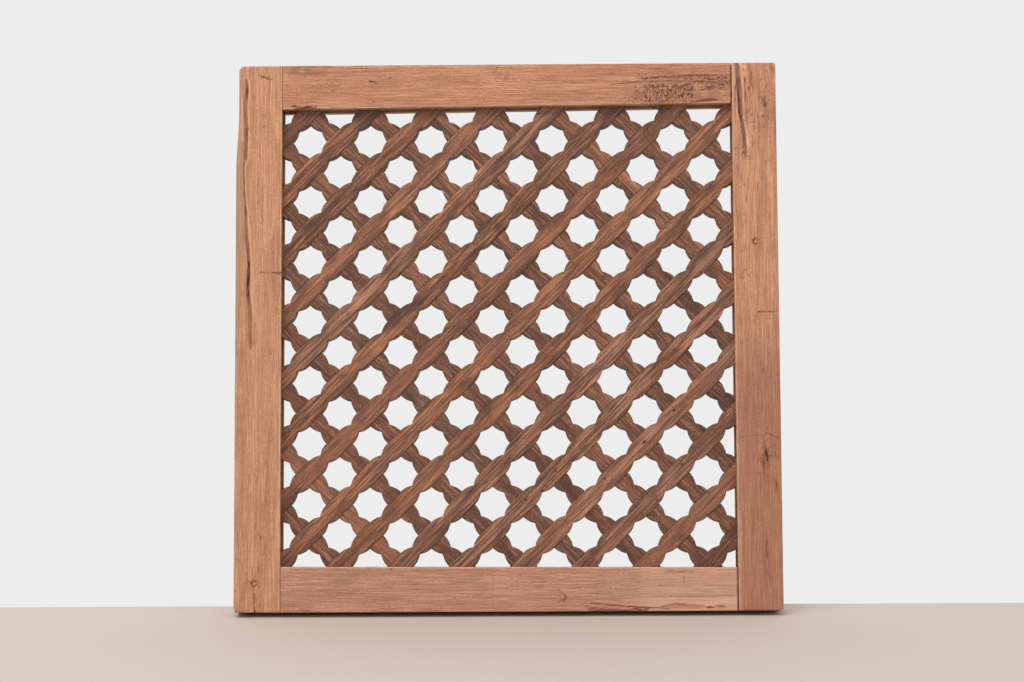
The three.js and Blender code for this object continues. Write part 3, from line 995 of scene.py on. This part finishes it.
def wood_finish(name, light, dark, stroke, arris_and_highlight_tone, lines_strength, grey_and_shade_tone, wall_dirt_and_shade_tone,
                on_strip):
    """A material for one piece of wood. Light strips glow where the sun warmed them."""
    material = bpy.data.materials.new(name)
    material.use_nodes = True
    tree = material.node_tree
    surface = tree.nodes["Principled BSDF"]

    def noise(scale, detail, distortion=0.0):
        stretched = add_node(tree, "ShaderNodeVectorMath", {"operation": "MULTIPLY"},
                             {0: grain, 1: scale})
        return add_node(tree, "ShaderNodeTexNoise", {},
                        {"Vector": stretched, "Scale": 1.0, "Detail": detail,
                         "Distortion": distortion})

    def mix(share, *colours):
        """A mix of two colours, each a socket or a tuple as seen on a screen."""
        first, second = [linear(colour) if isinstance(colour, tuple) else colour
                         for colour in colours]
        return add_node(tree, "ShaderNodeMix", {"data_type": "RGBA"},
                        {0: share, 6: first, 7: second}, 2)

    def split(attribute):
        vector = add_node(tree, "ShaderNodeAttribute", {"attribute_name": attribute}, {}, 1)
        return [add_node(tree, "ShaderNodeSeparateXYZ", {}, {0: vector}, k) for k in range(3)]

    grain = add_node(tree, "ShaderNodeAttribute", {"attribute_name": "grain"}, {}, 1)
    bare_arris_and_highlight, stain, hollow = split("wear_and_painted_light")
    side_wall_dirt_and_shade, patch, torn_grain_and_edge_shade = split("place")
    broad = noise((13.0 if on_strip else 5.0, 75.0, 60.0), 3.0, 0.4)
    bands = noise((14.0, 300.0, 200.0), 3.0, 0.5)
    cracks = noise((11.0, 330.0, 200.0), 2.0, 0.4)
    streaks = noise((48.0, 640.0, 420.0), 3.0)
    blotch = noise((40.0, 70.0, 50.0), 4.0)
    pores = noise((90.0, 800.0, 700.0), 1.0)
    specks = noise((330.0, 820.0, 700.0), 2.0)

    colour = mix(broad.between(0.35, 0.68) * (1.0 if on_strip else 0.6), light, dark)
    colour = mix(blotch.between(0.45, 0.75) * (0.3 if on_strip else 0.5), colour, dark)
    if on_strip:
        glow = noise((24.0, 42.0, 40.0), 2.0)
        glow_share = 0.45 if light[0] > pale_strip else 0.15
        colour = mix(glow.between(0.52, 0.7) * glow_share, colour, sun_glow)
        colour = mix(blotch.between(0.54, 0.74) * 0.5, colour, stroke)
    colour = mix(bands.between(0.5, 0.7) * (0.75 * lines_strength), colour, stroke)
    colour = mix(streaks.between(0.5, 0.72) * (0.15 + 0.45 * lines_strength), colour, stroke)
    colour = mix(streaks.between(0.46, 0.3) * (0.42 if on_strip else 0.25), colour, arris_and_highlight_tone)
    colour = mix(specks.between(0.52, 0.72) * 0.35, colour, stroke)
    colour = mix(specks.between(0.46, 0.3) * 0.3, colour, arris_and_highlight_tone)
    thin_lines = abs(cracks - 0.5).between(0.07, 0.015)
    colour = mix(thin_lines * (0.1 + 0.8 * lines_strength), colour, stroke)
    colour = mix(hollow * 0.8, colour, stroke)
    colour = mix(pores.between(0.68, 0.75) * 0.5, colour, stroke)
    # Grey and weathered patches; low on the right stile the patch is painted shade.
    colour = mix(patch * 0.8, colour, grey_and_shade_tone)
    # Bare arrises, with a painted highlight round the opening and along the strips' edges.
    colour = mix(bare_arris_and_highlight * 0.75, colour, arris_and_highlight_tone)
    # Painted shade on the side walls, over a darker tone of the wood.
    colour = mix(side_wall_dirt_and_shade * 0.85, colour, wall_dirt_and_shade_tone)
    # Painted shade along the strips' edges, in the wall tone.
    if on_strip:
        colour = mix(torn_grain_and_edge_shade * 0.45, colour, wall_dirt_and_shade_tone)
    else:
        flecks = noise((560.0, 270.0, 400.0), 2.0, 0.6)
        colour = mix(torn_grain_and_edge_shade * flecks.between(0.5, 0.6) * 0.6, colour, torn_fleck)
    colour = mix(stain.between(0.0, 0.6) * 0.6, colour, faint_stain)
    colour = mix(stain.between(0.45, 1.0) * 0.9, colour, deep_stain)
    tree.links.new(colour.socket, surface.inputs["Base Color"])

    height = streaks * 0.5 + bands * -0.5 - thin_lines * 0.6 - hollow * 0.5 - specks * 0.3
    bump = add_node(tree, "ShaderNodeBump", {}, {"Height": height, "Strength": 0.7,
                                                 "Distance": 0.0006})
    tree.links.new(bump.socket, surface.inputs["Normal"])
    roughness = 0.56 + streaks * 0.16 + blotch * 0.14
    tree.links.new(roughness.socket, surface.inputs["Roughness"])
    surface.inputs["Specular IOR Level"].default_value = 0.35
    return material

# %% [markdown]
# Every piece gets a finish of its own. The frame is pale and smooth, with few dark lines.

# %% Finishes of all the pieces
# The third tone of each board colours its patches; the right stile's is painted shade.
frame_tones = {
    "left_stile": ((213, 156, 118), (193, 134, 99), (168, 136, 112)),
    "right_stile": ((215, 156, 119), (189, 131, 99), (140, 88, 68)),
    "top_rail": ((206, 145, 110), (181, 124, 93), (136, 104, 88)),
    "bottom_rail": ((207, 152, 125), (187, 133, 107), (226, 180, 150)),
}
# The frame's arris tone is bare wood and a painted highlight, the strips' arris tone is a painted
# highlight, and both wall tones are darker wood with painted shade.
frame_stroke = (124, 80, 60)
frame_arris_and_highlight = (236, 192, 160)
frame_wall_dirt_and_shade = (172, 128, 92)
frame_lines = 0.2
strip_edge_highlight = (214, 156, 118)
strip_grey = (84, 66, 58)
strip_wall_dirt_and_shade = (70, 46, 32)
for name, (light, dark, grey_and_shade) in frame_tones.items():
    finish = wood_finish(name + "_finish", light, dark, frame_stroke, frame_arris_and_highlight, frame_lines,
                         grey_and_shade, frame_wall_dirt_and_shade, False)
    members[name].data.materials.append(finish)
for name, (piece, look) in strips.items():
    finish = wood_finish(name + "_finish", tones[look.light], tones[look.dark], tones["soot"],
                         strip_edge_highlight, look.lines, strip_grey, strip_wall_dirt_and_shade, True)
    piece.data.materials.append(finish)
print("finishes", len(members) + len(strips))

# %% [markdown]
# The panel leans back a little on a plain pale floor. The floor is tilted under it instead of
# the panel, because the panel stays where the solids are. It ends just behind the panel.

# %% Floor
lean = math.radians(9)
floor_back = 0.035
floor_front = -1.4
floor_half_width = 2.2
bm = bmesh.new()
bmesh.ops.create_grid(bm, x_segments=1, y_segments=1, size=1)
for vert in bm.verts:
    y = panel_back + (floor_back if vert.co.y > 0 else floor_front)
    vert.co = (vert.co.x * floor_half_width, y, panel_bottom + (y - panel_back) * math.tan(lean))
floor_mesh = bpy.data.meshes.new("floor")
bm.to_mesh(floor_mesh)
bm.free()
floor = bpy.data.objects.new("floor", floor_mesh)
bpy.context.scene.collection.objects.link(floor)
floor_finish = bpy.data.materials.new("floor_finish")
floor_finish.use_nodes = True
floor_surface = floor_finish.node_tree.nodes["Principled BSDF"]
floor_surface.inputs["Base Color"].default_value = linear((203, 192, 184))
floor_surface.inputs["Roughness"].default_value = 0.8
floor.data.materials.append(floor_finish)

# %% [markdown]
# The light is soft, from above and in front, and the pale surroundings fill the shadows. The
# camera stands low, a little to the right of the middle.

# %% Light and camera
world = bpy.data.worlds.new("surroundings")
world.use_nodes = True
world.node_tree.nodes["Background"].inputs["Color"].default_value = linear((247, 246, 246))
world.node_tree.nodes["Background"].inputs["Strength"].default_value = 0.92
bpy.context.scene.world = world

window_place = Vector((-0.7, -1.5, 1.6))
window_target = Vector((0, 0, -0.3))
lamp = bpy.data.lights.new("window", "AREA")
lamp.shape = "RECTANGLE"
lamp.size = 1.5
lamp.size_y = 1.1
lamp.energy = 26
lamp.color = (1.0, 0.97, 0.93)
window = bpy.data.objects.new("window", lamp)
window.location = window_place
window.rotation_euler = (window_target - window_place).to_track_quat("-Z", "Y").to_euler()
bpy.context.scene.collection.objects.link(window)

camera_place = (0.0359, -2.5468, -0.5214)
camera_turns = (95.25, 0.268, 0.7155)
view = bpy.data.cameras.new("camera")
view.sensor_width = 36
view.lens = 79.1
camera = bpy.data.objects.new("camera", view)
camera.location = camera_place
camera.rotation_euler = [math.radians(turn) for turn in camera_turns]
bpy.context.scene.collection.objects.link(camera)
bpy.context.scene.camera = camera
bpy.context.scene.view_settings.view_transform = "Standard"
